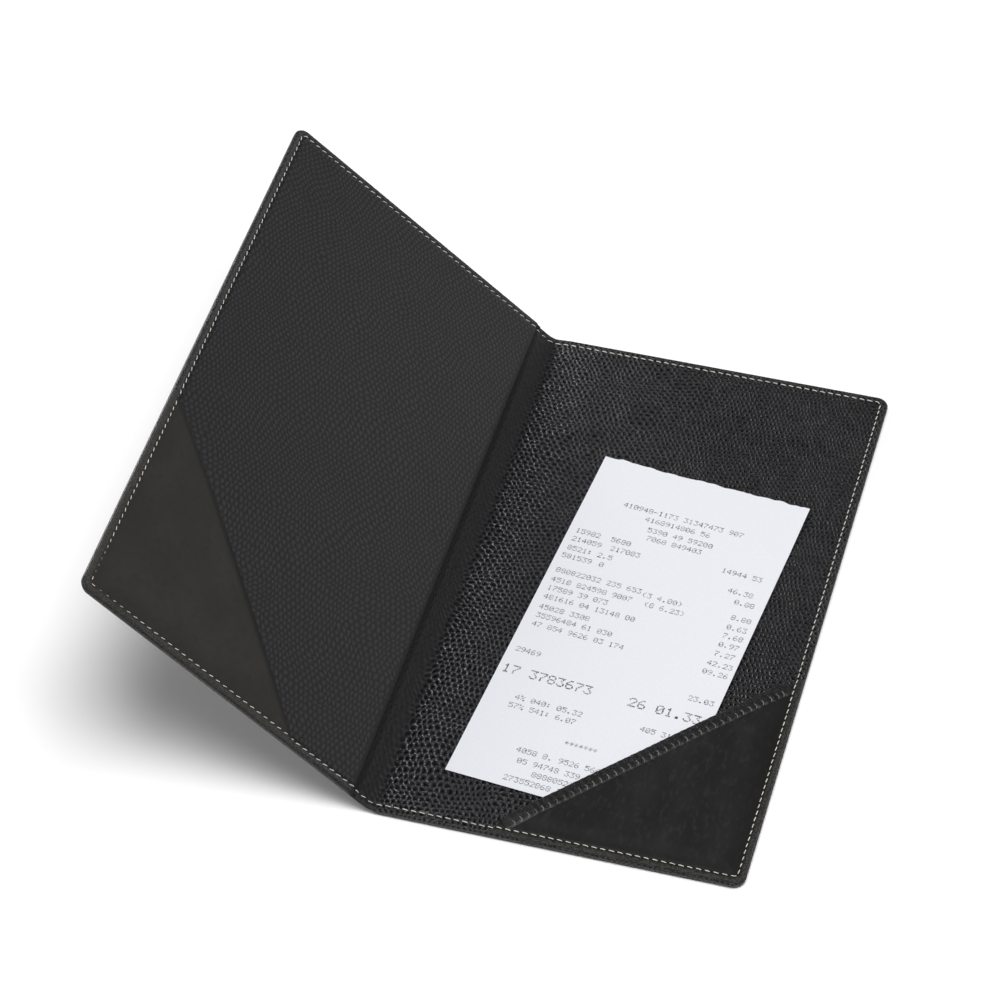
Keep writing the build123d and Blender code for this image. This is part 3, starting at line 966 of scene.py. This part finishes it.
makeOvercast()
print("stitching made")


slip = {
    "width": 80.0, "length": 167.0, "thickness": 0.1,
    "x": -0.5, "y": -21.3, "turn": math.radians(-5.4),
    "torn": 0.35,  # depth of the teeth along its head edge
}
slipLevel = boxOf("guest_check")[0][2]


def onSlip(a, b, lifted):
    # a across and b along from the slip's middle: flat, with a faint wave and a barely raised head
    cosine, sine = math.cos(slip["turn"]), math.sin(slip["turn"])
    x = slip["x"] + a * cosine - b * sine
    y = slip["y"] + a * sine + b * cosine
    free = smooth(-30, 60, b)
    wave = free * (0.10 + 0.10 * np.sin(b / 17 + a / 40) + 0.45 * smooth(60, 84, b) * (a / 40) ** 2)
    return np.stack([x, y, slipLevel + wave + lifted], -1)


def makeSlip():
    # a thin sheet with a torn head edge
    a = np.linspace(-slip["width"] / 2, slip["width"] / 2, 121)
    b = np.linspace(-slip["length"] / 2, slip["length"] / 2, 84)
    a, b = np.meshgrid(a, b, indexing="ij")
    tear = drift(a, 0, 3.3, 71) + 0.6 * drift(a, 0, 1.4, 72)
    b = b + slip["torn"] * (tear - 0.8) * smooth(slip["length"] / 2 - 2.5, slip["length"] / 2, b)
    points = np.concatenate([onSlip(a, b, slip["thickness"]).reshape(-1, 3), onSlip(a, b, 0).reshape(-1, 3)])
    coordinates = np.stack([np.tile(a.ravel(), 2), np.tile(b.ravel(), 2), np.zeros(2 * a.size)], -1)
    piece = makePiece("slip", points, plateFaces(*a.shape), paper, [("sheet", coordinates)])
    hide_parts("guest_check")
    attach(piece, "guest_check")


makeSlip()

# a 5 by 7 dot pattern for each digit and mark, one number for each row, its bits from left to right
dots = {
    "0": (14, 17, 19, 21, 25, 17, 14), "1": (4, 12, 4, 4, 4, 4, 14), "2": (14, 17, 1, 2, 4, 8, 31),
    "3": (31, 2, 4, 2, 1, 17, 14), "4": (2, 6, 10, 18, 31, 2, 2), "5": (31, 16, 30, 1, 1, 17, 14),
    "6": (6, 8, 16, 30, 17, 17, 14), "7": (31, 1, 2, 4, 8, 8, 8), "8": (14, 17, 17, 14, 17, 17, 14),
    "9": (14, 17, 17, 15, 1, 2, 12), ".": (0, 0, 0, 0, 0, 12, 12), ":": (0, 12, 12, 0, 12, 12, 0),
    "(": (2, 4, 8, 8, 8, 4, 2), ")": (8, 4, 2, 2, 2, 4, 8), "-": (0, 0, 0, 31, 0, 0, 0),
    "%": (24, 25, 2, 4, 8, 19, 3), "*": (0, 10, 4, 31, 4, 10, 0), " ": (0, 0, 0, 0, 0, 0, 0),
}
# each line of the print: how far down from the head and in from the left it starts, its marks (any digit is
# drawn for a 0), and its size where that isn't 1
printed = [
    (20.8, 15.0, "000000-0000 00000000 000"), (25.2, 25.0, "0000000000 00"), (30.2, 27.6, "0000 00 00000"),
    (34.4, 28.6, "0000 000000"), (39.6, 3.0, "00000"), (39.6, 16.7, "0000"), (44.0, 3.0, "000000"),
    (44.0, 18.0, "000000"), (48.8, 3.0, "0000: 0.0"), (53.2, 2.4, "000000"), (53.2, 16.8, "0"),
    (40.2, 59.7, "00000 00"), (49.0, 65.0, "00.00"), (53.8, 69.0, "0.00"), (61.0, 3.0, "000000000 000 000"),
    (62.0, 36.5, "(0 0.00)"), (61.5, 70.3, "0.00"), (66.0, 3.0, "0000 000000 0000"),
    (66.3, 38.8, "(0 0.00)"), (66.5, 70.3, "0.00"), (70.5, 3.2, "00000 00 000"), (71.0, 70.3, "0.00"),
    (75.0, 3.4, "000000 00 00000 00"), (75.5, 70.3, "0.00"), (80.4, 3.6, "00000 0000"),
    (80.3, 70.3, "0.00"), (84.8, 4.0, "00000000 00 000"), (85.4, 69.3, "00.00"),
    (89.4, 4.2, "00 000 0000 00 000"), (89.9, 69.0, "00.00"), (103.0, 3.0, "00000"), (104.0, 68.5, "00.00"),
    (112.4, 2.0, "00 0000000", 1.75), (112.4, 49.5, "00 00.00", 1.75), (125.1, 11.1, "0% 000: 00.00"),
    (129.3, 10.1, "00% 000: 0.00"), (124.0, 57.5, "000 000"), (139.5, 34.9, "*******", 0.9),
    (148.2, 20.2, "0000 0. 0000 000 00"), (153.0, 22.2, "00 00000 000 0"), (157.5, 29.2, "00000000"),
    (161.8, 20.4, "000000000 00"),
]
printing = {
    "dot": 0.33,  # side of one dot
    "wide": 0.325,  # from dot to dot across and down
    "high": 0.35,
    "lift": 0.012,  # of a dot's face over the paper
    "salt": 61,  # another number draws other digits
}


def makePrint():
    # every printed dot is a thin flat pad that stands a little above the paper
    spots = []
    for line, (down, left, text, *sizes) in enumerate(printed):
        size = sizes[0] if sizes else 1.0
        for column, mark in enumerate(text):
            if mark == "0":
                mark = str(int(scatter(np.float64(line), np.float64(column), printing["salt"]) * 10))
            for row, bits in enumerate(dots[mark]):
                for bit in range(5):
                    if bits >> (4 - bit) & 1:
                        spots.append((left + (column * 6 + bit) * printing["wide"] * size,
                                      down + row * printing["high"] * size, size))
    left, down, size = np.array(spots).T
    a = left - slip["width"] / 2
    b = slip["length"] / 2 - down
    half = printing["dot"] * size / 2
    a = a[:, None] + square[:, 0] * half[:, None]
    b = b[:, None] + square[:, 1] * half[:, None]
    top = onSlip(a, b, slip["thickness"] + printing["lift"])
    low = onSlip(a, b, slip["thickness"] - printing["lift"])
    points = np.concatenate([top, low], 1).reshape(-1, 3)
    pad = np.array([[0, 1, 2, 3], [7, 6, 5, 4], [0, 4, 5, 1], [1, 5, 6, 2], [2, 6, 7, 3], [3, 7, 4, 0]])
    faces = (pad[None] + 8 * np.arange(len(spots))[:, None, None]).reshape(-1, 4).tolist()
    coordinates = np.stack([np.tile(a, 2).ravel(), np.tile(b, 2).ravel(), np.zeros(a.size * 2)], -1)
    piece = makePiece("slipPrint", points, faces, ink, [("sheet", coordinates)], mend=False)
    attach(piece, "guest_check")


makePrint()
print("slip made")


stage = {
    "size": 8.0,  # of the floor, in metres
    "level": -0.3,  # in millimetres, just clear of the skin
    "grey": 0.96,
}


def makeFloor():
    # a pale floor that the object casts its shadow on
    shader = Shader("floor")
    material = shader.finish((stage["grey"],) * 3 + (1,), 0.9, 0.0)
    half, level = stage["size"] / 2 / mm, stage["level"]
    corners = [(x * half, y * half, level) for x, y in square]
    floor = makePiece("floor", corners, [[0, 1, 2, 3]], material, mend=False)


makeFloor()

light = {
    # brightness of the surroundings at heights from 0 at the horizon to 1 overhead
    "sky": [(0.0, 0.70), (0.18, 0.70), (0.36, 0.05), (0.85, 0.05), (1.0, 0.15)],
    "key": {"energy": 40.5, "size": 1.2, "at": (0.25, -0.35, 1.9), "aim": (0, 0, 0)},
    "back": {"energy": 9.0, "size": 0.35, "at": (-1.25, 1.0, 0.75), "aim": (-0.06, 0, 0)},
    "side": {"energy": 2.0, "size": 1.1, "at": (1.05, 1.1, 0.50), "aim": (-0.06, 0, 0)},
}


def makeWorld():
    # soft light by height, and plain white where the camera looks past the floor
    shader = Shader("studio", bpy.data.worlds)
    bpy.context.scene.world = shader.owner
    up = shader.parts(shader.node("ShaderNodeTexCoord", None, None, "Generated"))[2]
    band = shader.node("ShaderNodeValToRGB", None, {0: up})
    stops = band.socket.node.color_ramp.elements
    for count, (height, brightness) in enumerate(light["sky"]):
        stop = stops[count] if count < 2 else stops.new(1)
        stop.position = height
        stop.color = (brightness, brightness, brightness, 1)
    seen = shader.node("ShaderNodeLightPath", None, None, "Is Camera Ray")
    shade = shader.mix(seen, band, (1, 1, 1))
    surface = shader.node("ShaderNodeBackground", None, {"Color": shade, "Strength": 1.0})
    shader.node("ShaderNodeOutputWorld", None, {"Surface": surface})


def makeLamp(name, values):
    # a square lamp that faces its aim
    lamp = bpy.data.lights.new(name, "AREA")
    lamp.energy = values["energy"]
    lamp.size = values["size"]
    holder = addObject(name, lamp)
    holder.location = values["at"]
    holder.rotation_euler = (Vector(values["aim"]) - Vector(values["at"])).to_track_quat("-Z", "Y").to_euler()


makeWorld()
for name in ("key", "back", "side"):
    makeLamp(name, light[name])

view = {
    "azimuth": 15.254,
    "elevation": 44.778,
    "distance": 1.5556,
    "aim": (-0.06545, 0.03544, 0.0),
    "lens": 150.8,
}


def makeCamera():
    # turned by its two angles, and stood back from its aim along its own sight line
    camera = bpy.data.cameras.new("camera")
    camera.lens = view["lens"]
    camera.sensor_width = 36
    camera.clip_start = 0.01
    holder = addObject("camera", camera)
    holder.rotation_euler = (math.radians(90 - view["elevation"]), 0, math.radians(view["azimuth"]))
    back = Vector((0, 0, view["distance"]))
    back.rotate(holder.rotation_euler)
    holder.location = Vector(view["aim"]) + back
    bpy.context.scene.camera = holder


makeCamera()
bpy.context.scene.view_settings.view_transform = "Standard"
print("light and camera set")
